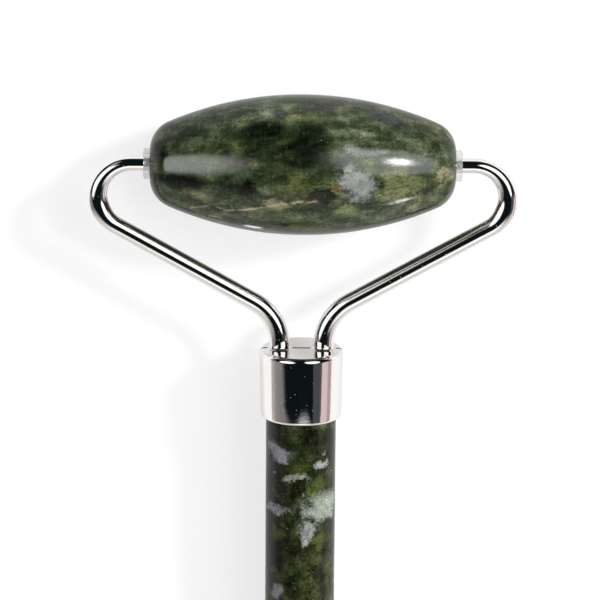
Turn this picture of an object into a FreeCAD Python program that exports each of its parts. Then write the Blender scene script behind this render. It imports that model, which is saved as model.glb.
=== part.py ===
"""Double-ended jade face roller: a stone handle with a large and a small stone roller.

Units are millimetres. Each head is drawn in a head frame: its axle lies along X through the
origin, the frame of the roller lies in the XY plane, and the handle is on the -Y side. The two
heads and the handle are then put together along Y, with the large head at the +Y end, and the
whole roller is laid down on its two stones: Z is up, Z = 0 is the surface, and the origin is
under the middle of the roller.
"""
import FreeCAD, Part
import math
import os
from dataclasses import dataclass
from FreeCAD import Vector

# ---- driving dimensions -------------------------------------------------------------------
HANDLE_DIAMETER = 9.3
HANDLE_SHOWN = 64.0        # stone between the two ferrules
HANDLE_END_CHAMFER = 0.4

AXLE_DIAMETER = 2.0        # the arm's plain end, on which a roller turns
AXLE_CLEARANCE = 0.05      # radial, between the axle and its bush
AXLE_IN_BUSH = 6.5
AXLE_TIP_CHAMFER = 0.3

BUSH_DIAMETER = 3.4        # the barrel pressed into the stone
BUSH_LENGTH = 8.0
FLANGE_DIAMETER = 4.1
FLANGE_THICKNESS = 0.8
FLANGE_ROUNDING = 0.25

# half sizes of the arm's oval section: in the frame's plane, and across it
ARM_AT_AXLE = (1.0, 1.0)
ARM_AT_BEND = (1.4, 1.1)
ARM_ON_DIAGONAL = (1.25, 1.1)
ARM_AT_FOOT = (1.35, 1.1)
WIDEST_TURN = 108.0        # degrees round the bend, from the axle, where the arm is widest
LEG_OFFSET = 2.87          # each leg's centre line from the middle of the ferrule
LEG_STRAIGHT = 0.4         # straight part of a leg above the ferrule
TENON_DIAMETER = 2.0       # the leg's end, through the crown of the ferrule
BRAZE_SIZE = 0.32          # width of the braze round a leg's foot
BRAZE_HEIGHT = 0.38

FERRULE_CROWN_DIAMETER = 11.05
FERRULE_RIM_DIAMETER = 10.85
FERRULE_LENGTH = 9.3
FERRULE_BORE = 9.5
CROWN_THICKNESS = 1.2
CROWN_ROUNDING = 1.0
RIM_ROUNDING = 0.45
BOND_END = 0.15            # cement between the end of the handle and the crown
BOND_SETBACK = 0.3         # the cement stops this far inside the ferrule's rim


@dataclass
class Head:
    """The sizes in which the two heads differ."""
    name: str
    stone_length: float
    stone_diameter: float
    stone_end_diameter: float   # where the barrel's arc meets the end face, before rounding
    stone_rounding: float
    axle_shown: float           # plain axle between the bush's flange and the arm's bend
    bend_radius: float          # of the arm's centre line beside the roller
    diagonal_angle: float       # of the arm's straight run to the axle, in degrees
    foot_radius: float          # of the arm's centre line where it turns down into the ferrule

    def half_length(self):
        return self.stone_length / 2

    def bend_start(self):
        return self.half_length() + FLANGE_THICKNESS + self.axle_shown

    def on_bend(self, turn):
        """Point of the right arm's centre line, after this turn (radians) round the bend."""
        return Vector(self.bend_start() + self.bend_radius * math.sin(turn),
                      self.bend_radius * (math.cos(turn) - 1), 0)

    def bend_end_turn(self):
        return math.pi - math.radians(self.diagonal_angle)

    def on_foot(self, heading):
        """Point of the right arm's centre line where it turns down into its leg, at this
        heading (radians) below the axle's direction."""
        angle = math.radians(self.diagonal_angle)
        diagonal_start = self.on_bend(self.bend_end_turn())
        centre_x = LEG_OFFSET + self.foot_radius
        run = (diagonal_start.x - centre_x + self.foot_radius * math.sin(angle)) / math.cos(angle)
        centre_y = diagonal_start.y - run * math.sin(angle) - self.foot_radius * math.cos(angle)
        return Vector(centre_x - self.foot_radius * math.sin(heading),
                      centre_y + self.foot_radius * math.cos(heading), 0)

    def reach(self):
        """Distance from the axle to the crown of the ferrule."""
        return LEG_STRAIGHT - self.on_foot(math.pi / 2).y


LARGE = Head("large", stone_length=40.0, stone_diameter=18.4, stone_end_diameter=8.84,
             stone_rounding=4.0, axle_shown=1.6, bend_radius=4.5, diagonal_angle=29.3,
             foot_radius=6.8)
SMALL = Head("small", stone_length=21.0, stone_diameter=13.0, stone_end_diameter=7.6,
             stone_rounding=2.8, axle_shown=1.4, bend_radius=3.6, diagonal_angle=38.0,
             foot_radius=5.2)

X_AXIS = Vector(1, 0, 0)
Y_AXIS = Vector(0, 1, 0)
Z_AXIS = Vector(0, 0, 1)
ORIGIN = Vector(0, 0, 0)


# ---- shapes shared by the pieces ----------------------------------------------------------
def turned(points, axis):
    """A solid of revolution about X or Y; points are (place along the axis, radius)."""
    if axis == X_AXIS:
        corners = [Vector(along, radius, 0) for along, radius in points]
    else:
        corners = [Vector(radius, along, 0) for along, radius in points]
    outline = Part.makePolygon(corners + corners[:1])
    return Part.Face(outline).revolve(ORIGIN, axis, 360)


def circles_of_radius(shape, radius):
    """The shape's circular edges of this radius."""
    found = []
    for edge in shape.Edges:
        if isinstance(edge.Curve, Part.Circle) and abs(edge.Curve.Radius - radius) < 1e-6:
            found.append(edge)
    return found


def oval(centre, heading, half_sizes):
    """An elliptical wire across the heading; the first half size is in the XY plane."""
    in_plane = heading.cross(Z_AXIS)
    in_plane.normalize()
    circle = Part.Wire(Part.makeCircle(1, ORIGIN, X_AXIS))
    stretch = FreeCAD.Matrix()
    stretch.A11, stretch.A21, stretch.A31 = heading.x, heading.y, heading.z
    stretch.A12, stretch.A22, stretch.A32 = tuple(in_plane * half_sizes[0])
    stretch.A13, stretch.A23, stretch.A33 = tuple(Z_AXIS * half_sizes[1])
    stretch.A14, stretch.A24, stretch.A34 = centre.x, centre.y, centre.z
    return Part.Wire(circle.transformGeometry(stretch).Edges)


# ---- pieces of a head, in the head frame --------------------------------------------------
def roller_stone(head):
    """Barrel with an arc for its side, rounded ends and a bore for the two bushes."""
    half = head.half_length()
    bore = BUSH_DIAMETER / 2
    end = head.stone_end_diameter / 2
    side = Part.Arc(Vector(-half, end, 0), Vector(0, head.stone_diameter / 2, 0),
                    Vector(half, end, 0)).toShape()
    rest = Part.makePolygon([Vector(half, end, 0), Vector(half, bore, 0),
                             Vector(-half, bore, 0), Vector(-half, end, 0)])
    outline = Part.Wire([side] + rest.Edges)
    barrel = Part.Face(outline).revolve(ORIGIN, X_AXIS, 360)
    return barrel.makeFillet(head.stone_rounding, circles_of_radius(barrel, end))


def bush(head):
    """Clear flanged bush: barrel inside the stone's bore, flange against its end face."""
    half = head.half_length()
    hole = AXLE_DIAMETER / 2 + AXLE_CLEARANCE
    barrel = BUSH_DIAMETER / 2
    flange = FLANGE_DIAMETER / 2
    outer = half + FLANGE_THICKNESS
    body = turned([(half - BUSH_LENGTH, hole), (half - BUSH_LENGTH, barrel), (half, barrel),
                   (half, flange), (outer, flange), (outer, hole)], X_AXIS)
    return body.makeFillet(FLANGE_ROUNDING, circles_of_radius(body, flange)[-1:])


def arm(head):
    """Right arm: axle, bend beside the roller, diagonal, leg and the tenon in the crown."""
    widest = math.radians(WIDEST_TURN)
    last = head.bend_end_turn()
    lean = math.radians(head.diagonal_angle)
    start = head.on_bend(0)
    broad = head.on_bend(widest)
    end = head.on_bend(last)
    turn = head.on_foot(lean)
    foot = head.on_foot(math.pi / 2)
    shoulder = Vector(LEG_OFFSET, -head.reach(), 0)
    spine = Part.Wire([Part.Arc(start, head.on_bend(widest / 2), broad).toShape(),
                       Part.Arc(broad, head.on_bend((widest + last) / 2), end).toShape(),
                       Part.makeLine(end, turn),
                       Part.Arc(turn, head.on_foot((lean + math.pi / 2) / 2), foot).toShape(),
                       Part.makeLine(foot, shoulder)])
    diagonal = (turn - end).normalize()
    sweep = Part.BRepOffsetAPI.MakePipeShell(spine)
    sweep.setBiNormalMode(Z_AXIS)
    for centre, heading, half_sizes in (
            (start, X_AXIS, ARM_AT_AXLE),
            (broad, Vector(math.cos(widest), -math.sin(widest), 0), ARM_AT_BEND),
            (end, diagonal, ARM_ON_DIAGONAL),
            (turn, diagonal, ARM_ON_DIAGONAL),
            (shoulder, -Y_AXIS, ARM_AT_FOOT)):
        sweep.add(oval(centre, heading, half_sizes))
    sweep.build()
    sweep.makeSolid()
    tip = head.half_length() + FLANGE_THICKNESS - AXLE_IN_BUSH
    axle = AXLE_DIAMETER / 2
    pin = turned([(tip, 0), (tip, axle - AXLE_TIP_CHAMFER), (tip + AXLE_TIP_CHAMFER, axle),
                  (start.x, axle), (start.x, 0)], X_AXIS)
    tenon = Part.makeCylinder(TENON_DIAMETER / 2, CROWN_THICKNESS, shoulder, -Y_AXIS)
    return sweep.shape().fuse([pin, tenon])


def braze(head):
    """Collar of braze round the right leg's foot."""
    foot = Vector(LEG_OFFSET, -head.reach(), 0)
    low = oval(foot, Y_AXIS, [size + BRAZE_SIZE for size in ARM_AT_FOOT])
    high = oval(foot + Y_AXIS * BRAZE_HEIGHT, Y_AXIS,
                [size + BRAZE_SIZE / 4 for size in ARM_AT_FOOT])
    return Part.makeLoft([low, high], True, True).cut(arm(head))


def ferrule(head):
    """Chromed cup, drafted towards its rim: a flat crown with a hole for each leg, and a bore for
    the handle."""
    top = -head.reach()
    rim = top - FERRULE_LENGTH
    crown_radius = FERRULE_CROWN_DIAMETER / 2
    rim_radius = FERRULE_RIM_DIAMETER / 2
    bore = FERRULE_BORE / 2
    cup = turned([(top, 0), (top, crown_radius), (rim, rim_radius), (rim, bore),
                  (top - CROWN_THICKNESS, bore), (top - CROWN_THICKNESS, 0)], Y_AXIS)
    cup = cup.makeFillet(RIM_ROUNDING, circles_of_radius(cup, rim_radius))
    cup = cup.makeFillet(CROWN_ROUNDING, circles_of_radius(cup, crown_radius))
    for leg in (LEG_OFFSET, -LEG_OFFSET):
        cup = cup.cut(Part.makeCylinder(TENON_DIAMETER / 2, CROWN_THICKNESS,
                                        Vector(leg, top, 0), -Y_AXIS))
    return cup


def bond(head):
    """Cup of cement between the handle's end and the ferrule."""
    closed_end = -head.reach() - CROWN_THICKNESS
    open_end = -head.reach() - FERRULE_LENGTH + BOND_SETBACK
    outer = FERRULE_BORE / 2
    inner = HANDLE_DIAMETER / 2
    return turned([(closed_end, 0), (closed_end, outer), (open_end, outer), (open_end, inner),
                   (closed_end - BOND_END, inner), (closed_end - BOND_END, 0)], Y_AXIS)


def head_pieces(head):
    """Every piece of one head by node name, in the head frame."""
    pieces = {"roller_stone": roller_stone(head), "ferrule": ferrule(head), "bond": bond(head)}
    for name, shape in (("bush", bush(head)), ("arm", arm(head)), ("braze", braze(head))):
        pieces[name + "_right"] = shape
        pieces[name + "_left"] = shape.mirror(ORIGIN, X_AXIS)
    return {head.name + "_" + name: shape for name, shape in pieces.items()}


# ---- the whole roller ---------------------------------------------------------------------
def handle_in_ferrule():
    return FERRULE_LENGTH - CROWN_THICKNESS - BOND_END


def axle_spacing():
    return LARGE.reach() + SMALL.reach() + 2 * FERRULE_LENGTH + HANDLE_SHOWN


def handle_stone():
    """Plain rod of stone, chamfered at both ends, in the large head's frame."""
    top = -LARGE.reach() - FERRULE_LENGTH + handle_in_ferrule()
    bottom = top - HANDLE_SHOWN - 2 * handle_in_ferrule()
    radius = HANDLE_DIAMETER / 2
    return turned([(top, 0), (top, radius - HANDLE_END_CHAMFER),
                   (top - HANDLE_END_CHAMFER, radius), (bottom + HANDLE_END_CHAMFER, radius),
                   (bottom, radius - HANDLE_END_CHAMFER), (bottom, 0)], Y_AXIS)


def placed(shape, name):
    """A shape from the head frames in its place in the whole roller, at rest on its stones."""
    if name.startswith(SMALL.name):
        shape = shape.copy()
        shape.rotate(ORIGIN, X_AXIS, 180)
        shape.translate(Vector(0, -axle_spacing(), 0))
    large_radius = LARGE.stone_diameter / 2
    small_radius = SMALL.stone_diameter / 2
    lean = math.asin((large_radius - small_radius) / axle_spacing())
    shape.rotate(ORIGIN, X_AXIS, math.degrees(lean))
    front_to_back = axle_spacing() * math.cos(lean)
    shape.translate(Vector(0, (front_to_back + small_radius - large_radius) / 2, large_radius))
    return shape


def main():
    os.makedirs("parts", exist_ok=True)
    pieces = {"handle_stone": handle_stone()}
    pieces.update(head_pieces(LARGE))
    pieces.update(head_pieces(SMALL))
    for name, shape in pieces.items():
        shape = placed(shape, name)
        if not shape.isValid() or len(shape.Solids) != 1:
            raise ValueError(name + " is not one valid solid")
        shape.Solids[0].exportStep(os.path.join("parts", name + ".step"))


main()
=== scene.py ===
"""Looks of the double-ended jade face roller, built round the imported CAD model.

Sizes are in millimetres, as in the CAD model, and MM turns them into metres. Each head is drawn in
its own frame: the axle lies along X through the origin, the frame of the roller lies in the XY
plane, and the handle is on the -Y side. The pieces are meshes in these frames, so the stone's
pattern, which follows the object's own coordinates, turns with the roller.
"""
import math
from dataclasses import dataclass

import bmesh
import bpy
from mathutils import Matrix, Vector, noise


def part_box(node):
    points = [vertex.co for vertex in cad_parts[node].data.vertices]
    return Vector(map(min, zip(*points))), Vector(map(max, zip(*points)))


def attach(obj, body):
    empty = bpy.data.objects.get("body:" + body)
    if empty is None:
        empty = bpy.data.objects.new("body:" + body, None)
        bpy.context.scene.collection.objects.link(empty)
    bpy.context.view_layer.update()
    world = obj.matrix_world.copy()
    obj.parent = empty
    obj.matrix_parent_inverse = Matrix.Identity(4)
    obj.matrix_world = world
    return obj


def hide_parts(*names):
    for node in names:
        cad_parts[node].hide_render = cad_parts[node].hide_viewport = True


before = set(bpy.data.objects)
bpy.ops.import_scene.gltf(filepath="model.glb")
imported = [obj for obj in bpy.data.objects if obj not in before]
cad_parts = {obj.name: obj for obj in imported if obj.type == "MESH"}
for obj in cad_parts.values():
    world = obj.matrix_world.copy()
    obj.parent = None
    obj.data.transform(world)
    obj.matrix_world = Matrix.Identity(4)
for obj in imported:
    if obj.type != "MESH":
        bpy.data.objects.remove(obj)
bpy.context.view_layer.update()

MM = 0.001

# ---- sizes of the pieces: the CAD model's, unless a note says otherwise ----------------------
HANDLE_DIAMETER = 9.3
HANDLE_SHOWN = 64.0
HANDLE_CHAMFER = 0.4

AXLE_DIAMETER = 2.0
AXLE_CLEARANCE = 0.05
AXLE_IN_BUSH = 6.5
AXLE_TIP_CHAMFER = 0.3

BUSH_DIAMETER = 3.4
BUSH_LENGTH = 8.0
FLANGE_DIAMETER = 4.1
FLANGE_THICKNESS = 0.8
FLANGE_ROUNDING = 0.25

# half sizes of the arm's oval section: in the frame's plane, and across it
ARM_AT_AXLE = (1.0, 1.0)
ARM_AT_BEND = (1.4, 1.1)
ARM_ON_DIAGONAL = (1.25, 1.1)
ARM_AT_FOOT = (1.35, 1.1)
WIDEST_TURN = math.radians(108.0)     # how far round the bend the arm is widest
SWELL = 1.5                # how late the arm swells on its way from the axle to the widest turn
LEG_OFFSET = 2.87          # of each leg from the middle
LEG_STRAIGHT = 0.4         # of the leg, above the crown
LEG_SUNK = 0.4             # how far the leg's end goes into the crown
BRAZE_SIZE = 0.32          # how far the collar reaches out round the leg
BRAZE_HEIGHT = 0.38
BRAZE_IN_LEG = 0.12        # how far it reaches into the leg, and into the crown
BRAZE_IN_CROWN = 0.05
LUMP_CIRCLE = 2.2          # the collar's lumps, not in the CAD, are noise read on this circle
LUMP_OUT = 0.45            # and change its reach and its height by these shares
LUMP_UP = 0.5

CROWN_DIAMETER = 11.05
RIM_DIAMETER = 10.85
FERRULE_LENGTH = 9.3
FERRULE_BORE = 9.5
BORE_CHAMFER = 0.1
CROWN_THICKNESS = 1.2
CROWN_ROUNDING = (0.60, 0.65)         # in from the side, down from the flat; the CAD has 1.0
RIM_ROUNDING = 0.45
RIM_CURVE = 2.8            # length over which the ferrule's side bows in towards its rim
RIM_LEAN = math.radians(3.0)
BOND_END = 0.15            # cement between the handle's end and the crown
SEAM_WIDTH = 0.42          # of the fine line across the crown, which the CAD leaves out
SEAM_DEPTH = 0.25
SEAM_CUT_ABOVE = 0.2

# ---- fineness of the meshes ------------------------------------------------------------------
STONE_SEGMENTS = 224
METAL_SEGMENTS = 192
ARM_SEGMENTS = 64
STEP = 0.4                 # mm between rings on long gentle curves
BORE_STEP = 1.0
HANDLE_STEP = 0.6
ROUNDING_STEPS = 14
BORE_EDGE_STEPS = 4
BEND_STEPS = 72
DIAGONAL_STEPS = 24
FOOT_STEPS = 36
BRAZE_STEPS = 10
MERGE_WITHIN = 1e-7        # metres
SHARP = math.radians(35)   # edges that turn more than this are shaded sharp


@dataclass
class Head:
    """One end of the roller: the sizes in which the two heads differ, and its place."""
    name: str
    stone_end_radius: float
    stone_rounding: float
    axle_shown: float
    bend_radius: float
    diagonal_angle: float
    foot_radius: float

    def __post_init__(self):
        low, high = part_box(self.name + "_roller_stone")
        self.centre = (low + high) / 2
        self.half_length = (high.x - low.x) / 2 / MM
        self.stone_radius = (high.z - low.z) / 2 / MM

    def bend_start(self):
        """How far out along the axle the bend starts."""
        return self.half_length + FLANGE_THICKNESS + self.axle_shown

    def bend_end_turn(self):
        """How far the bend turns before the arm runs straight along the diagonal."""
        return math.pi - self.diagonal_angle

    def on_bend(self, turn):
        """Point of the right arm's centre line, after this turn round the bend."""
        return Vector((self.bend_start() + self.bend_radius * math.sin(turn),
                       self.bend_radius * (math.cos(turn) - 1), 0))

    def on_foot(self, heading):
        """Point of the right arm's centre line where it turns down, at this heading below X."""
        angle = self.diagonal_angle
        start = self.on_bend(self.bend_end_turn())
        centre_x = LEG_OFFSET + self.foot_radius
        run = (start.x - centre_x + self.foot_radius * math.sin(angle)) / math.cos(angle)
        centre_y = start.y - run * math.sin(angle) - self.foot_radius * math.cos(angle)
        return Vector((centre_x - self.foot_radius * math.sin(heading),
                       centre_y + self.foot_radius * math.cos(heading), 0))

    def reach(self):
        """Distance from the axle to the crown of the ferrule."""
        return LEG_STRAIGHT - self.on_foot(math.pi / 2).y


LARGE = Head("large", stone_end_radius=4.42, stone_rounding=4.0, axle_shown=1.6,
             bend_radius=4.5, diagonal_angle=math.radians(29.3), foot_radius=6.8)
SMALL = Head("small", stone_end_radius=3.8, stone_rounding=2.8, axle_shown=1.4,
             bend_radius=3.6, diagonal_angle=math.radians(38.0), foot_radius=5.2)


def head_matrix(head):
    """Where a head's frame lies: its Y axis runs along the roller, away from the handle."""
    x_axis = Vector((1, 0, 0))
    other = SMALL if head is LARGE else LARGE
    y_axis = (head.centre - other.centre).normalized()
    z_axis = x_axis.cross(y_axis)
    place = Matrix((x_axis, y_axis, z_axis)).transposed().to_4x4()
    place.translation = head.centre
    return place


def linked(name, data):
    """A new object with this data, in the scene."""
    made = bpy.data.objects.new(name, data)
    bpy.context.scene.collection.objects.link(made)
    return made


def sided(name, side):
    """The name of a piece on one side; 1 is right and -1 is left."""
    return f"{name}_{'right' if side > 0 else 'left'}"


# ---- meshes ----------------------------------------------------------------------------------
def arc(centre, radius, start, end, steps):
    """Points (along, out) of an arc from one angle to another; angle 0 points along."""
    angles = [start + (end - start) * k / steps for k in range(steps + 1)]
    return [(centre[0] + radius * math.cos(a), centre[1] + radius * math.sin(a)) for a in angles]


def straight(start, end, step=STEP):
    """Points from start towards end, without the end."""
    steps = max(1, round(math.dist(start, end) / step))
    return [(start[0] + (end[0] - start[0]) * k / steps,
             start[1] + (end[1] - start[1]) * k / steps) for k in range(steps)]


def new_object(name, points, faces, place, sharp=SHARP):
    """A smooth-shaded mesh object from points in millimetres in the frame of place."""
    mesh = bpy.data.meshes.new(name)
    mesh.from_pydata([Vector(p) * MM for p in points], [], faces)
    joined = bmesh.new()
    joined.from_mesh(mesh)
    bmesh.ops.remove_doubles(joined, verts=joined.verts, dist=MERGE_WITHIN)
    bmesh.ops.recalc_face_normals(joined, faces=joined.faces)
    joined.to_mesh(mesh)
    joined.free()
    mesh.shade_smooth()
    mesh.set_sharp_from_angle(angle=sharp)
    made = linked(name, mesh)
    made.matrix_world = place
    return made


def bridged(rings, closed):
    """Points and faces of rings of equal length; a ring may be one point, at a pole."""
    points, faces, starts = [], [], []
    for ring in rings:
        starts.append(len(points))
        points += ring
    count = max(len(ring) for ring in rings)
    pairs = list(zip(range(len(rings)), range(1, len(rings))))
    if closed:
        pairs.append((len(rings) - 1, 0))
    for a, b in pairs:
        for k in range(count):
            corners = []
            for ring, place in ((a, k), (a, k + 1), (b, k + 1), (b, k)):
                corner = starts[ring] + place % len(rings[ring])
                if corner not in corners:
                    corners.append(corner)
            faces.append(corners)
    return points, faces


def turned(name, outline, axis, place, segments, closed=True):
    """A body turned about the X or Y axis; the outline is (along the axis, radius)."""
    rings = []
    for along, radius in outline:
        ring = []
        for k in range(segments if radius > 0 else 1):
            angle = math.tau * k / segments
            across = (radius * math.cos(angle), radius * math.sin(angle))
            if axis == "X":
                ring.append((along, across[0], across[1]))
            else:
                ring.append((across[0], along, across[1]))
        rings.append(ring)
    points, faces = bridged(rings, closed)
    return new_object(name, points, faces, place)


def uneven(made, amount, size, seed):
    """Moves the surface in and out a little, as hand polishing leaves it."""
    shift = Vector((seed, 2.3 * seed, 0.7 * seed))
    moved = []
    for vertex in made.data.vertices:
        swell = noise.noise(vertex.co / (size * MM) + shift)
        moved.append(vertex.co + vertex.normal * swell * amount * MM)
    for vertex, co in zip(made.data.vertices, moved):
        vertex.co = co


# ---- the pieces ------------------------------------------------------------------------------
def roller_stone(head, place):
    """Barrel with arcs for sides and rounded ends, bored for the bushes."""
    half, radius, end = head.half_length, head.stone_radius, head.stone_end_radius
    rounding = head.stone_rounding
    side_radius = (half ** 2 + (radius - end) ** 2) / (2 * (radius - end))
    side_centre = radius - side_radius
    corner_along = half - rounding
    corner_out = side_centre + math.sqrt((side_radius - rounding) ** 2 - corner_along ** 2)
    meet = math.acos(corner_along / (side_radius - rounding))
    side_steps = round(2 * side_radius * (math.pi / 2 - meet) / STEP)
    bore = BUSH_DIAMETER / 2
    outline = [(half, bore)]
    outline += arc((corner_along, corner_out), rounding, 0, meet, ROUNDING_STEPS)
    outline += arc((0, side_centre), side_radius, meet, math.pi - meet, side_steps)[1:-1]
    outline += arc((-corner_along, corner_out), rounding, math.pi - meet, math.pi, ROUNDING_STEPS)
    outline += [(-half, bore)]
    outline += straight((-half, bore), (half, bore), BORE_STEP)[1:]
    stone = turned(head.name + "_stone", outline, "X", place, STONE_SEGMENTS)
    uneven(stone, amount=0.025, size=7.0, seed=3.1)
    return stone


def bush(head, side, place):
    """Flanged bush: a barrel inside the stone's bore, and a flange outside it."""
    half = head.half_length
    hole = AXLE_DIAMETER / 2 + AXLE_CLEARANCE
    barrel, flange = BUSH_DIAMETER / 2, FLANGE_DIAMETER / 2
    outer = half + FLANGE_THICKNESS
    soft = FLANGE_ROUNDING
    outline = [(half - BUSH_LENGTH, hole), (half - BUSH_LENGTH, barrel), (half, barrel),
               (half, flange)]
    outline += arc((outer - soft, flange - soft), soft, math.pi / 2, 0, ROUNDING_STEPS)
    outline += arc((outer - soft / 2, hole + soft / 2), soft / 2, 0, -math.pi / 2,
                   BORE_EDGE_STEPS)
    outline = [(side * along, radius) for along, radius in outline]
    return turned(sided(head.name + "_clear_bush", side), outline, "X", place, METAL_SEGMENTS)


def between(a, b, share):
    """The pair of sizes this share of the way from a to b."""
    return [p + (q - p) * share for p, q in zip(a, b)]


def arm_stations(head):
    """Centre, heading and half sizes of the right arm's section, from axle tip to foot."""
    lean = head.diagonal_angle
    last = head.bend_end_turn()
    tip = head.half_length + FLANGE_THICKNESS - AXLE_IN_BUSH
    axle = AXLE_DIAMETER / 2
    thin = axle - AXLE_TIP_CHAMFER
    along_x = Vector((1, 0, 0))
    stations = [(Vector((tip, 0, 0)), along_x, (thin, thin))]
    for x, _ in straight((tip + AXLE_TIP_CHAMFER, 0), (head.bend_start(), 0)):
        stations.append((Vector((x, 0, 0)), along_x, (axle, axle)))
    for k in range(BEND_STEPS + 1):
        turn = last * k / BEND_STEPS
        if turn < WIDEST_TURN:
            size = between(ARM_AT_AXLE, ARM_AT_BEND, (turn / WIDEST_TURN) ** SWELL)
        else:
            share = (turn - WIDEST_TURN) / (last - WIDEST_TURN)
            size = between(ARM_AT_BEND, ARM_ON_DIAGONAL, share * share * (3 - 2 * share))
        heading = Vector((math.cos(turn), -math.sin(turn), 0))
        stations.append((head.on_bend(turn), heading, size))
    diagonal = Vector((-math.cos(lean), -math.sin(lean), 0))
    start, end = head.on_bend(last), head.on_foot(lean)
    for k in range(1, DIAGONAL_STEPS):
        stations.append((start.lerp(end, k / DIAGONAL_STEPS), diagonal, ARM_ON_DIAGONAL))
    for k in range(FOOT_STEPS + 1):
        share = k / FOOT_STEPS
        angle = lean + (math.pi / 2 - lean) * share
        heading = Vector((-math.cos(angle), -math.sin(angle), 0))
        size = between(ARM_ON_DIAGONAL, ARM_AT_FOOT, share)
        stations.append((head.on_foot(angle), heading, size))
    foot = Vector((LEG_OFFSET, -head.reach() - LEG_SUNK, 0))
    stations.append((foot, Vector((0, -1, 0)), ARM_AT_FOOT))
    return stations


def arm(head, side, place):
    """Arm of the frame, from its tip inside the bush to its foot in the crown."""
    rings = []
    for centre, heading, (in_plane, across) in arm_stations(head):
        outward = Vector((-heading.y, heading.x, 0))
        ring = []
        for k in range(ARM_SEGMENTS):
            angle = math.tau * k / ARM_SEGMENTS
            point = centre + outward * in_plane * math.cos(angle)
            ring.append((side * point.x, point.y, across * math.sin(angle)))
        rings.append(ring)
    points, faces = bridged(rings, closed=False)
    faces.append(range(ARM_SEGMENTS))
    faces.append(range(len(points) - ARM_SEGMENTS, len(points)))
    made = new_object(sided(head.name + "_frame_arm", side), points, faces, place)
    uneven(made, amount=0.012, size=3.5, seed=5.7 + side)
    return made


def braze(head, side, place):
    """Collar of braze round a leg's foot: hollow-sided, and a little lumpy."""
    crown = -head.reach()
    outline = []
    for k in range(BRAZE_STEPS + 1):
        sweep = math.pi / 2 * k / BRAZE_STEPS
        outline.append((BRAZE_SIZE * (1 - math.sin(sweep)), BRAZE_HEIGHT * (1 - math.cos(sweep))))
    outline += [(-BRAZE_IN_LEG, BRAZE_HEIGHT), (-BRAZE_IN_LEG, -BRAZE_IN_CROWN),
                (BRAZE_SIZE, -BRAZE_IN_CROWN)]
    rings = []
    for out, height in outline:
        ring = []
        for k in range(METAL_SEGMENTS):
            angle = math.tau * k / METAL_SEGMENTS
            lump = noise.noise(Vector((LUMP_CIRCLE * math.cos(angle),
                                       LUMP_CIRCLE * math.sin(angle), 4 * side)))
            spread = out * (1 + LUMP_OUT * lump) if out > 0 else out
            ring.append((side * (LEG_OFFSET + (ARM_AT_FOOT[0] + spread) * math.cos(angle)),
                         crown + height * (1 + LUMP_UP * lump),
                         (ARM_AT_FOOT[1] + spread) * math.sin(angle)))
        rings.append(ring)
    points, faces = bridged(rings, closed=True)
    return new_object(sided(head.name + "_braze_collar", side), points, faces, place,
                      sharp=math.radians(60))


def cut_seam(made, top, place):
    """Cuts a fine V-shaped line across a ferrule's crown."""
    half, above, reach = SEAM_WIDTH / 2, SEAM_CUT_ABOVE, CROWN_DIAMETER / 2
    corners = [(-half, above), (-half, 0), (0, -SEAM_DEPTH), (half, 0), (half, above)]
    points = [(x, top + y, z) for x in (-reach, reach) for z, y in corners]
    faces = [(0, 1, 2, 3, 4), (5, 6, 7, 8, 9)]
    faces += [(k, (k + 1) % 5, 5 + (k + 1) % 5, 5 + k) for k in range(5)]
    cutter = new_object("seam_cutter", points, faces, place)
    cut = made.modifiers.new("seam", "BOOLEAN")
    cut.operation = "DIFFERENCE"
    cut.solver = "EXACT"
    cut.object = cutter
    bpy.context.view_layer.update()
    whole = made.evaluated_get(bpy.context.evaluated_depsgraph_get())
    mesh = bpy.data.meshes.new_from_object(whole)
    made.modifiers.clear()
    made.data = mesh
    bpy.data.objects.remove(cutter)


def ferrule(head, place):
    """Cup with a flat crown, a side that bows in to a soft rim, and a seam across the crown."""
    top = -head.reach()
    rim = top - FERRULE_LENGTH
    crown_radius, rim_radius = CROWN_DIAMETER / 2, RIM_DIAMETER / 2
    bore = FERRULE_BORE / 2
    inner_top = top - CROWN_THICKNESS
    soft = RIM_ROUNDING
    bow = RIM_CURVE / math.sin(RIM_LEAN)
    end_radius = rim_radius - bow * (1 - math.cos(RIM_LEAN))
    inward, down = CROWN_ROUNDING
    edge = arc((0, 0), 1.0, 0, math.pi / 2, 2 * ROUNDING_STEPS)
    outline = [(top, 0)]
    outline += [(top + (along - 1) * down, crown_radius + (out - 1) * inward)
                for along, out in edge]
    outline += arc((rim + soft + RIM_CURVE, rim_radius - bow), bow, math.pi / 2,
                   math.pi / 2 + RIM_LEAN, ROUNDING_STEPS)
    outline += arc((rim + soft, end_radius - soft), soft, math.pi / 2 + RIM_LEAN, math.pi,
                   ROUNDING_STEPS)
    outline += [(rim, bore + BORE_CHAMFER), (rim + BORE_CHAMFER, bore), (inner_top, bore),
                (inner_top, 0)]
    made = turned(head.name + "_ferrule_cup", outline, "Y", place, METAL_SEGMENTS, closed=False)
    cut_seam(made, top, place)
    made.data.set_sharp_from_angle(angle=math.radians(25))
    return made


def handle(place):
    """The handle's rod, from inside one ferrule to inside the other, in the large head's frame."""
    inside = FERRULE_LENGTH - CROWN_THICKNESS - BOND_END
    top = -LARGE.reach() - FERRULE_LENGTH + inside
    bottom = top - HANDLE_SHOWN - 2 * inside
    radius, cut = HANDLE_DIAMETER / 2, HANDLE_CHAMFER
    outline = [(top, 0), (top, radius - cut)]
    outline += straight((top - cut, radius), (bottom + cut, radius), HANDLE_STEP)
    outline += [(bottom + cut, radius), (bottom, radius - cut), (bottom, 0)]
    rod = turned("handle_rod", outline, "Y", place, STONE_SEGMENTS, closed=False)
    uneven(rod, amount=0.02, size=6.0, seed=8.4)
    return rod


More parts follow.
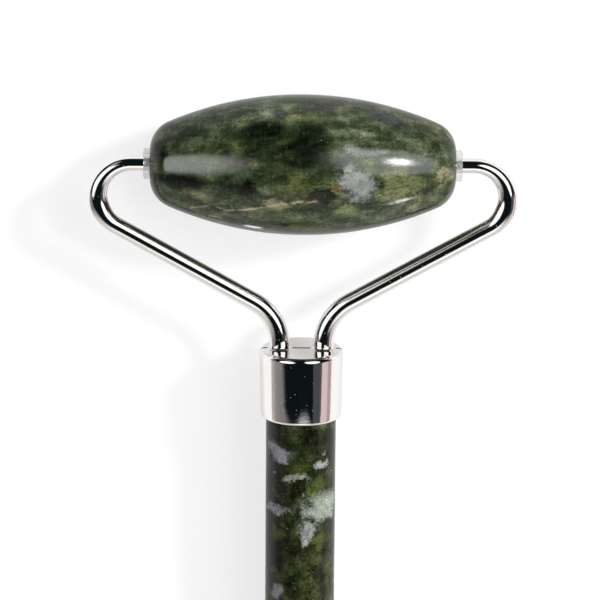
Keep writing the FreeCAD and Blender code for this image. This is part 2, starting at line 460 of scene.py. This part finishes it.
# ---- materials -------------------------------------------------------------------------------
def srgb(red, green, blue):
    """A colour given as 0 to 255 screen values, as the linear colour that shaders use."""
    linear = []
    for value in (red, green, blue):
        value = value / 255
        linear.append(value / 12.92 if value <= 0.04045 else ((value + 0.055) / 1.055) ** 2.4)
    return (*linear, 1.0)


class Nodes:
    """Short ways to add and join nodes in one node tree."""

    def __init__(self, tree):
        self.tree = tree
        tree.nodes.clear()

    def add(self, kind, inputs=None, **settings):
        node = self.tree.nodes.new("ShaderNode" + kind)
        for name, value in settings.items():
            setattr(node, name, value)
        for name, value in (inputs or {}).items():
            self.put(node.inputs[name], value)
        return node

    def put(self, socket, value):
        if isinstance(value, bpy.types.NodeSocket):
            self.tree.links.new(value, socket)
        else:
            socket.default_value = value

    def math(self, operation, a, b=0.0):
        return self.add("Math", {0: a, 1: b}, operation=operation).outputs[0]

    def vector(self, operation, a, b=(0, 0, 0)):
        return self.add("VectorMath", {0: a, 1: b}, operation=operation).outputs[0]

    def scaled(self, vector, by):
        node = self.add("VectorMath", {0: vector, "Scale": by}, operation="SCALE")
        return node.outputs[0]

    def noise(self, vector, size, detail=4.0, roughness=0.55):
        """Fractal noise with features about this many millimetres across."""
        node = self.add("TexNoise", {"Vector": vector, "Scale": 1 / size, "Detail": detail,
                                     "Roughness": roughness})
        return node.outputs

    def ramp(self, value, low, high):
        """Rises smoothly from 0 where the value is low to 1 where it is high."""
        node = self.add("MapRange", {0: value, 1: low, 2: high}, interpolation_type="SMOOTHSTEP")
        return node.outputs[0]

    def even(self, value, low, high, at_low, at_high):
        """Goes evenly from at_low to at_high while the value goes from low to high."""
        node = self.add("MapRange", {0: value, 1: low, 2: high, 3: at_low, 4: at_high})
        return node.outputs[0]

    def mix(self, share, a, b, blend="MIX"):
        node = self.add("Mix", data_type="RGBA", blend_type=blend)
        self.put(node.inputs[0], share)
        self.put(node.inputs[6], a)
        self.put(node.inputs[7], b)
        return node.outputs[2]

    def colours(self, value, stops):
        """The colour for a value, between stops of (value, colour)."""
        node = self.add("ValToRGB", {0: value})
        points = node.color_ramp.elements
        while len(points) < len(stops):
            points.new(0.5)
        for point, (place, colour) in zip(points, stops):
            point.position = place
            point.color = colour
        return node.outputs[0]

    def spread(self, noise, by):
        """Noise about zero, this strong."""
        return self.math("MULTIPLY", self.math("SUBTRACT", noise, 0.5), by)

    def wander(self, colour, reach):
        """A vector about zero from a noise's colour, this strong."""
        return self.scaled(self.vector("SUBTRACT", colour, (0.5, 0.5, 0.5)), reach)

    def bump(self, surface, height):
        """Makes a surface uneven; the height is in millimetres."""
        node = self.add("Bump", {"Strength": 1.0, "Distance": 1.0,
                                 "Height": self.math("MULTIPLY", height, MM)})
        self.put(surface.inputs["Normal"], node.outputs[0])


def empty_material(name):
    """A material without nodes, and the means to add them."""
    made = bpy.data.materials.new(name)
    made.use_nodes = True
    return made, Nodes(made.node_tree)


def material(name):
    """A material with one plain surface, which the caller dresses."""
    made, nodes = empty_material(name)
    surface = nodes.add("BsdfPrincipled")
    nodes.add("OutputMaterial", {"Surface": surface.outputs[0]})
    return made, nodes, surface


def millimetres(nodes):
    """The surface point in its object's own frame, in millimetres."""
    return nodes.scaled(nodes.add("TexCoord").outputs["Object"], 1 / MM)


def chrome_material():
    """Bright plating, a little smeared and wavy, with a few fine pits."""
    made, nodes, surface = material("polished_chrome")
    point = millimetres(nodes)
    smear = nodes.noise(point, 2.5, 3.0)["Fac"]
    nodes.put(surface.inputs["Base Color"], (0.745, 0.72, 0.695, 1))
    nodes.put(surface.inputs["Metallic"], 1.0)
    nodes.put(surface.inputs["Roughness"], nodes.even(smear, 0.3, 0.7, 0.03, 0.06))
    waves = nodes.spread(nodes.noise(point, 0.45, 3.0, 0.6)["Fac"], 0.0042)
    spots = nodes.add("TexVoronoi", {"Vector": point, "Scale": 1.8}).outputs
    chance = nodes.add("SeparateColor", {0: spots["Color"]}).outputs[0]
    few = nodes.math("GREATER_THAN", chance, 0.40)
    dents = nodes.math("MULTIPLY", nodes.ramp(spots["Distance"], 0.10, 0.02), few)
    nodes.bump(surface, nodes.math("ADD", waves, nodes.math("MULTIPLY", dents, -0.02)))
    return made


def clear_material():
    """Clear plastic, faintly hazy."""
    made, nodes, surface = material("clear_nylon")
    haze = nodes.noise(millimetres(nodes), 0.6, 3.0)["Fac"]
    nodes.put(surface.inputs["Base Color"], (0.98, 0.98, 0.98, 1))
    nodes.put(surface.inputs["Transmission Weight"], 0.84)
    nodes.put(surface.inputs["IOR"], 1.22)
    nodes.put(surface.inputs["Roughness"], nodes.even(haze, 0.3, 0.7, 0.05, 0.15))
    return made


def cement_material():
    """Dark, dull cement."""
    made, nodes, surface = material("dark_cement")
    grain = nodes.noise(millimetres(nodes), 0.3, 4.0)["Fac"]
    colour = nodes.mix(grain, srgb(38, 38, 36), srgb(70, 69, 64))
    nodes.put(surface.inputs["Base Color"], colour)
    nodes.put(surface.inputs["Roughness"], 0.8)
    return made


# Jade: a ground of cloudy green or olive, tones that make parts of it lighter or darker, then
# patches of other colours, veins, cracks, grains and specks. A few of the large stone's tones are
# painted shade and a painted reflection of shade, not the stone's colour. Places on a stone are
# given as mm along its axis and degrees round it from the top, and sizes as half lengths in mm
# along and round.
GREEN = ((0.00, srgb(9, 13, 7)), (0.22, srgb(27, 36, 22)), (0.42, srgb(51, 62, 40)),
         (0.62, srgb(84, 93, 70)), (0.82, srgb(118, 125, 106)), (1.00, srgb(152, 158, 146)))
OLIVE = ((0.00, srgb(12, 13, 6)), (0.22, srgb(36, 40, 20)), (0.42, srgb(64, 70, 39)),
         (0.62, srgb(98, 103, 64)), (0.82, srgb(130, 132, 94)), (1.00, srgb(160, 158, 128)))

PALE = srgb(148, 153, 149)
WARM_OLIVE = srgb(112, 119, 76)
MOSS = srgb(74, 84, 34)
SAND = srgb(150, 144, 112)
OCHRE = srgb(102, 92, 54)
RUST = srgb(66, 54, 34)
LILAC = srgb(82, 79, 84)
PALE_LILAC = srgb(140, 141, 149)
PALE_GREEN = srgb(148, 158, 146)

# (along, round, half along, half round, tone)
ROLLER_TONES_AND_SHADE = (
    (-5.0, 42, 3.6, 1.3, -0.30), (1.2, 33, 2.4, 2.4, -0.26), (-1.5, 21, 3.0, 1.6, -0.24),
    (-16.3, -7, 3.4, 1.3, -0.50), (-7.0, -8, 1.7, 1.0, -0.40), (2.6, -13, 2.2, 0.8, -0.36),
    (-2.3, 60, 0.8, 1.3, -0.26), (3.0, 72, 2.6, 1.2, -0.12), (10.5, 64, 1.9, 1.2, -0.18),
    # (11.0, -56, ...) is a painted reflection of shade: a thin dark line along the right half of
    # the side facing the handle, where the stone mirrors the shade beneath it.
    (-19.0, 38, 1.6, 2.6, -0.18), (11.0, -56, 8.5, 0.6, -0.22), (-9.0, 25, 6.0, 1.4, -0.06),
    (-5.6, 60, 2.9, 1.6, 0.24), (-11.4, -18, 3.0, 1.8, 0.14), (0.0, -42, 22.0, 3.6, 0.12),
    (0.0, 72, 22.0, 3.0, 0.06), (13.0, 33, 4.5, 3.0, 0.12), (6.5, 40, 1.8, 2.0, 0.10),
    # (-20.6, -20, ...) is painted shade on the stone's left end, and (0.0, -70, ...) painted shade
    # along the side facing the handle, where both reflect less light.
    (17.0, -25, 3.0, 4.0, 0.10), (-20.6, -20, 1.5, 9.0, -0.30), (0.0, -70, 24.0, 1.8, -0.16),
    (11.0, 47, 3.0, 1.5, 0.16), (1.5, 24, 3.4, 1.2, 0.12), (-11.5, -12, 2.4, 1.4, -0.14),
    (-5.5, -18, 3.0, 1.4, -0.12), (-3.5, -46, 3.0, 1.3, -0.12), (-9.0, -47, 4.0, 1.2, -0.12),
    (17.4, 22, 1.6, 2.0, 0.12), (-10.0, 30, 2.5, 1.5, 0.08))

# (along, round, half along, half round, colour, strength)
ROLLER_PATCHES = (
    (12.3, -7, 3.0, 2.7, WARM_OLIVE, 0.75), (12.0, -14, 2.0, 0.8, SAND, 0.3),
    (7.0, -5, 2.1, 2.4, PALE, 0.75), (6.0, 8, 1.0, 1.2, PALE, 0.35),
    (5.7, -28, 1.3, 1.1, WARM_OLIVE, 0.6), (4.8, -9, 0.6, 0.9, OCHRE, 0.6),
    (18.6, -4, 1.0, 2.0, SAND, 0.6), (0.8, -15, 1.5, 0.5, OCHRE, 0.5),
    (-3.0, -20, 1.6, 0.7, SAND, 0.5), (8.2, 27, 2.2, 0.9, PALE, 0.35),
    (-4.2, 46, 0.5, 0.3, RUST, 0.7), (2.6, 2, 0.4, 0.7, RUST, 0.5),
    (-6.4, -3, 0.5, 0.3, RUST, 0.4), (-3.0, -18, 0.4, 0.3, RUST, 0.6),
    (-2.4, 62, 0.8, 1.2, LILAC, 0.5), (10.6, 65, 2.0, 1.0, LILAC, 0.4),
    (3.2, 72, 2.4, 1.2, LILAC, 0.3))

# each vein is its course over the stone, its half width in mm, and its colour
ROLLER_VEINS = (
    (((-15.0, -57), (-14.6, -45), (-13.4, -37), (-11.5, -31.5), (-9.8, -33), (-8.0, -31),
      (-6.0, -26), (-4.0, -21.5), (-1.5, -18.5), (1.5, -17)), 0.17, SAND),
    (((-14.8, -54), (-13.0, -50), (-10.5, -47)), 0.10, SAND))

HANDLE_TONES = ((-36.0, 10, 1.6, 6.0, -0.14), (-47.0, -62, 15.0, 2.6, -0.10),
                (-41.0, -38, 1.2, 1.6, -0.08), (-38.5, 45, 1.2, 1.6, -0.08))
HANDLE_PATCHES = (
    (-43.0, 28, 0.9, 1.3, MOSS, 0.7), (-51.0, 38, 1.7, 1.1, MOSS, 0.7),
    (-50.0, -45, 1.2, 1.4, MOSS, 0.5), (-40.8, -10, 1.0, 1.6, MOSS, 0.4),
    (-38.1, -42, 1.0, 2.0, PALE_LILAC, 0.8), (-40.6, 32, 0.7, 1.3, PALE, 0.9),
    (-42.0, -10, 0.5, 1.8, PALE_GREEN, 0.65), (-45.9, 40, 1.9, 3.5, PALE_GREEN, 0.85),
    (-46.4, -50, 0.6, 2.6, PALE_LILAC, 0.75), (-49.4, 8, 1.7, 1.2, PALE, 0.8),
    (-58.0, -42, 1.3, 0.9, PALE_LILAC, 0.7))

TONE_GROWTH = 1.25         # what the half lengths are multiplied by, as ragged edges eat into them
PATCH_GROWTH = 1.2
PATCH_WANDER = 3.5         # mm by which noise pulls the outlines of tones and patches about
VEIN_WANDER = 1.2
CURVE_ALONG = 60.0         # mm that a curve node's 0 to 1 stands for, in a vein's course
CURVE_ROUND = 180.0        # and degrees


def unrolled(nodes, point, axis, radius):
    """The surface laid flat: mm along the axis, and mm round it from the top."""
    x, y, z = nodes.add("SeparateXYZ", {0: point}).outputs
    along, out = (x, y) if axis == "X" else (y, x)
    turn = nodes.math("ARCTAN2", out, z)
    flat = nodes.add("CombineXYZ", {0: along, 1: nodes.math("MULTIPLY", turn, radius)})
    return flat.outputs[0]


def inside(nodes, flat, radius, oval, growth):
    """1 in the middle of an oval patch of the unrolled surface, 0 at its edge, less outside. The
    oval is (along, degrees round, half along, half round)."""
    along, turn, half_along, half_round = oval
    off = nodes.vector("SUBTRACT", flat, (along, math.radians(turn) * radius, 0))
    off = nodes.vector("DIVIDE", off, (half_along * growth, half_round * growth, 1))
    length = nodes.add("VectorMath", {0: off}, operation="LENGTH").outputs["Value"]
    return nodes.math("SUBTRACT", 1.0, length)


def on_vein(nodes, flat, radius, course, half_width):
    """1 on a vein's line and 0 off it; the course is a list of (along, degrees round)."""
    along, out, _ = nodes.add("SeparateXYZ", {0: flat}).outputs
    share = nodes.math("ADD", nodes.math("DIVIDE", along, CURVE_ALONG), 0.5)
    node = nodes.add("FloatCurve", {"Value": share})
    points = node.mapping.curves[0].points
    while len(points) < len(course):
        points.new(0.5, 0.5)
    for point, (at, turn) in zip(points, course):
        point.location = (at / CURVE_ALONG + 0.5, turn / CURVE_ROUND + 0.5)
    node.mapping.update()
    turn = nodes.math("SUBTRACT", node.outputs[0], 0.5)
    line = nodes.math("MULTIPLY", turn, math.radians(CURVE_ROUND) * radius)
    away = nodes.math("ABSOLUTE", nodes.math("SUBTRACT", out, line))
    near = nodes.ramp(away, half_width * 1.6, half_width * 0.4)
    first, last = course[0][0], course[-1][0]
    begun = nodes.ramp(along, first - 0.3, first + 0.3)
    going_on = nodes.ramp(along, last + 0.8, last - 0.3)
    return nodes.math("MULTIPLY", near, nodes.math("MULTIPLY", begun, going_on))


def jade_material(name, axis, radius, ground, seed=0.0, tones=(), patches=(), veins=(),
                  clusters=(), olive=(0.44, 0.70)):
    """Polished jade. The ground is its mean lightness, and olive the range of a noise in which the
    green turns to olive. Clusters are patches wherever a noise is high: (shift and size of the
    noise, threshold, colour, strength)."""
    made, nodes, surface = material(name)
    point = nodes.vector("ADD", millimetres(nodes), (seed, seed, seed))
    drawn = nodes.vector("MULTIPLY", point, (0.6, 1, 1) if axis == "X" else (1, 0.8, 1))
    broad = nodes.noise(drawn, 4.5, 3.0)
    mottle = nodes.noise(drawn, 1.6, 8.0, 0.68)
    fine = nodes.noise(point, 0.3, 3.0, 0.6)
    place = unrolled(nodes, millimetres(nodes), axis, radius)
    flat = place
    for colour in (broad["Color"], mottle["Color"]):
        flat = nodes.vector("ADD", flat, nodes.wander(colour, PATCH_WANDER))
    flat = nodes.vector("MULTIPLY", flat, (1, 1, 0))
    ragged = nodes.math("ADD", nodes.spread(mottle["Fac"], 1.0), nodes.spread(fine["Fac"], 0.5))

    # the ground: first its lightness, then its colour
    value = nodes.math("ADD", nodes.spread(broad["Fac"], 0.5), ground)
    value = nodes.math("ADD", value, nodes.spread(mottle["Fac"], 1.5))
    value = nodes.math("ADD", value, nodes.spread(fine["Fac"], 0.5))
    streaks = nodes.noise(nodes.vector("MULTIPLY", place, (3.0, 0.25, 1)), 1.0, 3.0)["Fac"]
    value = nodes.math("ADD", value, nodes.spread(streaks, 0.25))
    for *oval, tone in tones:
        depth = inside(nodes, flat, radius, oval, TONE_GROWTH)
        mask = nodes.ramp(nodes.math("ADD", depth, ragged), -0.1, 0.6)
        value = nodes.math("ADD", value, nodes.math("MULTIPLY", mask, tone))
    hue = nodes.noise(nodes.vector("ADD", drawn, (11, 5, 3)), 3.0, 5.0, 0.6)["Fac"]
    colour = nodes.mix(nodes.ramp(hue, *olive), nodes.colours(value, GREEN),
                       nodes.colours(value, OLIVE))

    # patches, clusters and veins, each shaded by the same fine mottling
    shade = nodes.math("ADD", nodes.math("MULTIPLY", nodes.spread(mottle["Fac"], 1.0), 1.9),
                       nodes.spread(fine["Fac"], 1.5))
    shade = nodes.math("ADD", 1.0, shade)
    grey = nodes.add("CombineXYZ", {0: shade, 1: shade, 2: shade}).outputs[0]
    layers = []
    for *oval, tint, strength in patches:
        depth = inside(nodes, flat, radius, oval, PATCH_GROWTH)
        share = nodes.ramp(nodes.math("ADD", depth, ragged), -0.05, 0.55)
        layers.append((nodes.math("MULTIPLY", share, strength), tint))
    for shift, size, threshold, tint, strength in clusters:
        cloud = nodes.noise(nodes.vector("ADD", drawn, (shift, shift, shift)), size, 5.0, 0.6)
        share = nodes.ramp(cloud["Fac"], threshold, threshold + 0.06)
        layers.append((nodes.math("MULTIPLY", share, strength), tint))
    for course, half_width, tint in veins:
        broken = nodes.ramp(mottle["Fac"], 0.40, 0.55)
        wavy = nodes.vector("ADD", place, nodes.wander(mottle["Color"], VEIN_WANDER))
        share = on_vein(nodes, wavy, radius, course, half_width)
        layers.append((nodes.math("MULTIPLY", share, broken), tint))
    for share, tint in layers:
        colour = nodes.mix(share, colour, nodes.mix(1.0, tint, grey, blend="MULTIPLY"))

    # hairline cracks where a noise crosses its middle, dark grains, and pale specks
    folds = nodes.noise(nodes.vector("ADD", drawn, (2, 6, 13)), 3.2, 4.0, 0.55)["Fac"]
    line = nodes.math("ABSOLUTE", nodes.spread(folds, 1.0))
    crack = nodes.math("MULTIPLY", nodes.ramp(line, 0.020, 0.004),
                       nodes.ramp(broad["Fac"], 0.62, 0.45))
    colour = nodes.mix(nodes.math("MULTIPLY", crack, 0.4), colour, srgb(16, 22, 13))
    grains = nodes.noise(nodes.vector("ADD", drawn, (4, 9, 6)), 0.55, 4.0, 0.65)["Fac"]
    dark = nodes.math("MULTIPLY", nodes.ramp(grains, 0.60, 0.72), 0.6)
    colour = nodes.mix(dark, colour, srgb(18, 24, 14))
    specks = nodes.noise(nodes.vector("ADD", point, (7, 2, 9)), 0.28, 1.0)["Fac"]
    colour = nodes.mix(nodes.ramp(specks, 0.745, 0.81), colour, srgb(128, 134, 120))

    nodes.put(surface.inputs["Base Color"], colour)
    nodes.put(surface.inputs["Roughness"], nodes.even(mottle["Fac"], 0.3, 0.7, 0.12, 0.22))
    nodes.put(surface.inputs["IOR"], 1.4)
    nodes.put(surface.inputs["Specular IOR Level"], 0.4)
    nodes.bump(surface, nodes.math("ADD", nodes.spread(mottle["Fac"], 0.006),
                                   nodes.spread(fine["Fac"], 0.0012)))
    return made


# ---- the studio ------------------------------------------------------------------------------
FLOOR_HALF = 3.0           # metres, as are the two levels
FLOOR_LEVEL = -0.0001
FLOOR_GLOW_LEVEL = -0.00005
GLINT_PLACE = (-7.4, -14.3, 0)        # mm, in the large head's frame
GLINT_HALF_SIZE = (1.8 * MM, 1.3 * MM)


def floor(shines_on):
    """A pale floor that glows a little round the roller, runs into the backdrop further away, and
    is clear from below. Its glow is hidden from reflections where the roller stands close to it."""
    half = FLOOR_HALF
    mesh = bpy.data.meshes.new("studio_floor")
    corners = [(-half, -half, 0), (half, -half, 0), (half, half, 0), (-half, half, 0)]
    mesh.from_pydata(corners, [], [(0, 1, 2, 3)])
    made = linked("studio_floor", mesh)
    made.location.z = FLOOR_LEVEL
    paint, nodes = empty_material("pale_floor")
    place = nodes.add("TexCoord").outputs["Object"]
    distance = nodes.add("VectorMath", {0: place}, operation="LENGTH").outputs["Value"]
    fade = nodes.even(distance, 0.12, 0.40, 0.70, 0.20)
    hidden = nodes.add("AmbientOcclusion", {"Distance": 0.018}, samples=8).outputs["AO"]
    shaded = nodes.math("MULTIPLY", fade, nodes.math("MULTIPLY", hidden, 1.25))
    path = nodes.add("LightPath").outputs
    power = nodes.even(path["Is Glossy Ray"], 0.0, 1.0, fade, shaded)
    glow = nodes.add("Emission", {"Color": (0.985, 0.99, 1.0, 1), "Strength": power})
    matt = nodes.add("BsdfDiffuse", {"Color": (0.35, 0.35, 0.35, 1)})
    near = nodes.add("AddShader", {0: glow.outputs[0], 1: matt.outputs[0]})
    far = nodes.add("Emission", {"Color": BACKDROP})
    share = nodes.math("MULTIPLY", path["Is Camera Ray"], nodes.ramp(distance, 0.12, 0.32))
    above = nodes.add("MixShader", {0: share, 1: near.outputs[0], 2: far.outputs[0]})
    below = nodes.add("NewGeometry").outputs["Backfacing"]
    clear = nodes.add("BsdfTransparent")
    both = nodes.add("MixShader", {0: below, 1: above.outputs[0], 2: clear.outputs[0]})
    nodes.add("OutputMaterial", {"Surface": both.outputs[0]})
    mesh.materials.append(paint)
    made.light_linking.receiver_collection = shines_on


def receivers(name, pieces, state):
    """What a light shines on: only these pieces (INCLUDE), or everything else (EXCLUDE)."""
    made = bpy.data.collections.new(name)
    for piece in pieces:
        made.objects.link(piece)
    for member in made.collection_objects:
        member.light_linking.link_state = state
    return made


def card(name, middle, half_size, strength, shine, soft, shines_on):
    """A level, see-through oval of light, out of the camera's sight, which fades towards its edge
    over the soft share of its radius; its radiance for matt surfaces and for reflections."""
    w, h = half_size
    mesh = bpy.data.meshes.new(name)
    mesh.from_pydata([(-w, -h, 0), (-w, h, 0), (w, h, 0), (w, -h, 0)], [], [(0, 1, 2, 3)])
    made = linked(name, mesh)
    made.location = middle
    made.visible_camera = False
    made.visible_shadow = False
    made.visible_diffuse = strength > 0
    paint, nodes = empty_material(name)
    place = nodes.vector("DIVIDE", nodes.add("TexCoord").outputs["Object"], (w, h, 1))
    out = nodes.add("VectorMath", {0: place}, operation="LENGTH").outputs["Value"]
    glossy = nodes.add("LightPath").outputs["Is Glossy Ray"]
    power = nodes.math("MULTIPLY", nodes.even(glossy, 0.0, 1.0, strength, shine),
                       nodes.ramp(out, 1.0, 1.0 - soft))
    light = nodes.add("Emission", {"Color": (1, 1, 1, 1), "Strength": power})
    clear = nodes.add("BsdfTransparent")
    both = nodes.add("AddShader", {0: clear.outputs[0], 1: light.outputs[0]})
    nodes.add("OutputMaterial", {"Surface": both.outputs[0]})
    mesh.materials.append(paint)
    made.light_linking.receiver_collection = shines_on


# colours of the walls, from the horizon (0) up to overhead (1)
LEFT_WALL = ((0.00, (0.54, 0.51, 0.50, 1)), (0.12, (0.52, 0.49, 0.48, 1)),
             (0.17, (0.36, 0.34, 0.34, 1)), (0.50, (0.25, 0.24, 0.24, 1)))
RIGHT_WALL = ((0.00, (0.55, 0.44, 0.43, 1)), (0.15, (0.55, 0.44, 0.43, 1)),
              (0.20, (0.87, 0.69, 0.73, 1)), (0.46, (0.87, 0.69, 0.73, 1)),
              (0.50, (0.14, 0.12, 0.13, 1)), (0.58, (0.08, 0.085, 0.09, 1)))
NEAR_WALL = (0.88, 0.86, 0.85, 1)
FAR_WALL = (0.02, 0.022, 0.02, 1)
FAR_HORIZON = (0.5, 0.5, 0.5, 1)
CEILING = (0.005, 0.009, 0.0105, 1)
CEILING_RIGHT = (0.08, 0.085, 0.09, 1)
BACKDROP = (0.99, 0.99, 1.0, 1)


def surroundings():
    """A room that is light on the handle's side and dark overhead and beyond the roller, and a
    plain pale backdrop where the camera sees past it."""
    world = bpy.data.worlds.new("studio")
    bpy.context.scene.world = world
    world.use_nodes = True
    nodes = Nodes(world.node_tree)
    direction = nodes.add("SeparateXYZ", {0: nodes.add("TexCoord").outputs["Generated"]})
    x, y, z = direction.outputs
    wall = nodes.mix(nodes.ramp(x, -0.3, 0.3), nodes.colours(z, LEFT_WALL),
                     nodes.colours(z, RIGHT_WALL))
    wall = nodes.mix(nodes.ramp(y, -0.38, -0.75), wall, NEAR_WALL)
    far = nodes.mix(nodes.ramp(z, 0.0, 0.16), FAR_HORIZON, FAR_WALL)
    wall = nodes.mix(nodes.ramp(y, -0.20, -0.02), wall, far)
    sideways = nodes.math("MULTIPLY", nodes.math("ABSOLUTE", x), 0.38)
    height = nodes.math("ADD", z, nodes.math("ADD", sideways, nodes.math("MULTIPLY", y, 0.51)))
    right = nodes.math("MULTIPLY", nodes.ramp(x, 0.50, 0.56), nodes.ramp(y, 0.0, -0.2))
    ceiling = nodes.mix(right, CEILING, CEILING_RIGHT)
    room = nodes.mix(nodes.ramp(height, 0.66, 0.78), wall, ceiling)
    seen = nodes.add("LightPath").outputs["Is Camera Ray"]
    colour = nodes.mix(seen, room, BACKDROP)
    background = nodes.add("Background", {"Color": colour, "Strength": 1.0})
    nodes.add("OutputWorld", {"Surface": background.outputs[0]})


def key_light():
    """A weak key from the upper right, for the faint shadow on the floor."""
    lamp = bpy.data.lights.new("key", "SUN")
    lamp.energy = 2.4
    lamp.color = (1.0, 0.98, 0.96)
    lamp.angle = math.radians(9)
    made = linked("key", lamp)
    shines_along = Vector((-0.72, -0.385, -0.574))
    made.rotation_euler = shines_along.to_track_quat("-Z", "Y").to_euler()
    made.visible_glossy = False


def studio(stones, metal):
    """The room, the floor and the lights. Stones and metal have panels of their own, because the
    ones that give the stones their soft highlights would only glare in polished metal. The stones
    also have less of the floor's glow in their reflections, and the large one a glint of its own,
    low on its left."""
    surroundings()
    key_light()
    floor(receivers("all_but_stones", stones, "EXCLUDE"))
    on_stones = receivers("stones", stones, "INCLUDE")
    not_metal = receivers("all_but_metal", metal, "EXCLUDE")
    on_metal = receivers("metal", metal, "INCLUDE")
    on_large_stone = receivers("large_stone", stones[1:2], "INCLUDE")
    card("floor_glow", (0, 0, FLOOR_GLOW_LEVEL), (0.6, 0.6), 0.70, 0.40, 0.8, on_stones)
    glint = head_matrix(LARGE) @ (Vector(GLINT_PLACE) * MM)
    card("glint_near", glint, GLINT_HALF_SIZE, 0.0, 9.0, 0.6, on_large_stone)
    # name, height, middle and half size as slopes from overhead (to the right, away from the
    # handle), radiance for matt surfaces and for reflections, soft share, what it shines on
    for name, height, (right, away), (half_wide, half_deep), strength, shine, soft, shines_on in (
            ("panel_left", 0.70, (-1.24, 0.22), (1.02, 0.60), 2.8, 9.0, 0.42, not_metal),
            ("panel_right", 0.70, (0.74, 0.42), (0.61, 0.66), 3.2, 7.0, 0.18, not_metal),
            ("lamp_right", 0.71, (0.74, 0.38), (0.105, 0.20), 0.0, 190.0, 1.0, not_metal),
            ("strip_near", 0.20, (1.58, -2.9), (0.14, 0.55), 0.0, 150.0, 0.6, not_metal),
            ("metal_left", 0.72, (-1.10, 0.22), (0.88, 0.60), 0.0, 1.7, 0.25, on_metal),
            ("metal_right", 0.72, (0.74, 0.42), (0.61, 0.66), 0.0, 1.7, 0.10, on_metal),
            ("metal_far_left", 0.73, (-0.95, 1.20), (0.50, 0.75), 0.0, 0.6, 0.6, on_metal),
            ("metal_near_right", 0.73, (0.14, -0.82), (0.60, 0.41), 0.0, 0.8, 0.4, on_metal),
            ("metal_near", 0.74, (0.0, -0.95), (0.90, 0.50), 0.0, 0.22, 0.6, on_metal)):
        middle = LARGE.centre + height * Vector((right, away, 1))
        half_size = (height * half_wide, height * half_deep)
        card(name, middle, half_size, strength, shine, soft, shines_on)


# ---- the camera ------------------------------------------------------------------------------
def camera(place):
    """Looks down at the large head with a long lens, tilted so that the ferrule's crown shows."""
    tilt = math.radians(16.0)
    roll = math.radians(0.45)
    aim = Vector((-0.25, -18.4, 0)) * MM
    distance = 505.1 * MM
    forward = Vector((0, -math.sin(tilt), -math.cos(tilt)))
    level_up = Vector((0, math.cos(tilt), -math.sin(tilt)))
    right = Vector((math.cos(roll), 0, 0)) + level_up * math.sin(roll)
    up = right.cross(forward)
    turn = Matrix((right, up, -forward)).transposed().to_4x4()
    turn.translation = aim - forward * distance
    lens = bpy.data.cameras.new("camera")
    lens.sensor_width = 36.0
    lens.lens = 229.5
    lens.clip_start = 0.01
    made = linked("camera", lens)
    made.matrix_world = place @ turn
    bpy.context.scene.camera = made


# ---- the whole roller ------------------------------------------------------------------------
def finished(piece, look, slot, body, *nodes):
    """Gives a piece its material, its body and the CAD nodes whose place it takes. The slot is not
    used.
    """
    piece.data.materials.clear()
    piece.data.materials.append(look)
    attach(piece, body)
    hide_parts(*nodes)
    return piece


def build():
    """Makes every piece, and returns the stone ones (the large roller's is the second) and the
    ones of polished metal."""
    chrome = chrome_material()
    clear = clear_material()
    cement = cement_material()
    large_jade = jade_material("large_roller_jade", "X", LARGE.stone_radius, ground=0.38,
                               tones=ROLLER_TONES_AND_SHADE, patches=ROLLER_PATCHES, veins=ROLLER_VEINS)
    small_jade = jade_material("small_roller_jade", "X", SMALL.stone_radius, ground=0.42,
                               seed=37.0, clusters=((5.0, 3.0, 0.62, PALE, 0.6),
                                                    (9.0, 3.5, 0.60, WARM_OLIVE, 0.6)))
    dark_jade = jade_material("handle_jade", "Y", HANDLE_DIAMETER / 2, ground=0.24, seed=3.0,
                              tones=HANDLE_TONES, patches=HANDLE_PATCHES, olive=(0.30, 0.60),
                              clusters=((5.0, 2.6, 0.66, PALE_LILAC, 0.7),))
    frames = "handle_and_frames"
    rod = handle(head_matrix(LARGE))
    stones = [finished(rod, dark_jade, "handle_stone", frames, "handle_stone")]
    metal = []
    for head, jade in ((LARGE, large_jade), (SMALL, small_jade)):
        place = head_matrix(head)
        name = head.name
        roller = name + "_roller"
        stones.append(finished(roller_stone(head, place), jade, "roller_stone", roller,
                               name + "_roller_stone"))
        metal.append(finished(ferrule(head, place), chrome, "chromed_metal", frames,
                              name + "_ferrule"))
        for side in (1, -1):
            finished(bush(head, side, place), clear, "clear_bush", roller,
                     sided(name + "_bush", side))
            metal.append(finished(arm(head, side, place), chrome, "chromed_metal", frames,
                                  sided(name + "_arm", side)))
            metal.append(finished(braze(head, side, place), chrome, "braze", frames,
                                  sided(name + "_braze", side)))
        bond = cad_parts[name + "_bond"]
        bond.data.materials.clear()
        bond.data.materials.append(cement)
    return stones, metal


bpy.context.scene.view_settings.view_transform = "Standard"
camera(head_matrix(LARGE))
stones, metal = build()
studio(stones, metal)
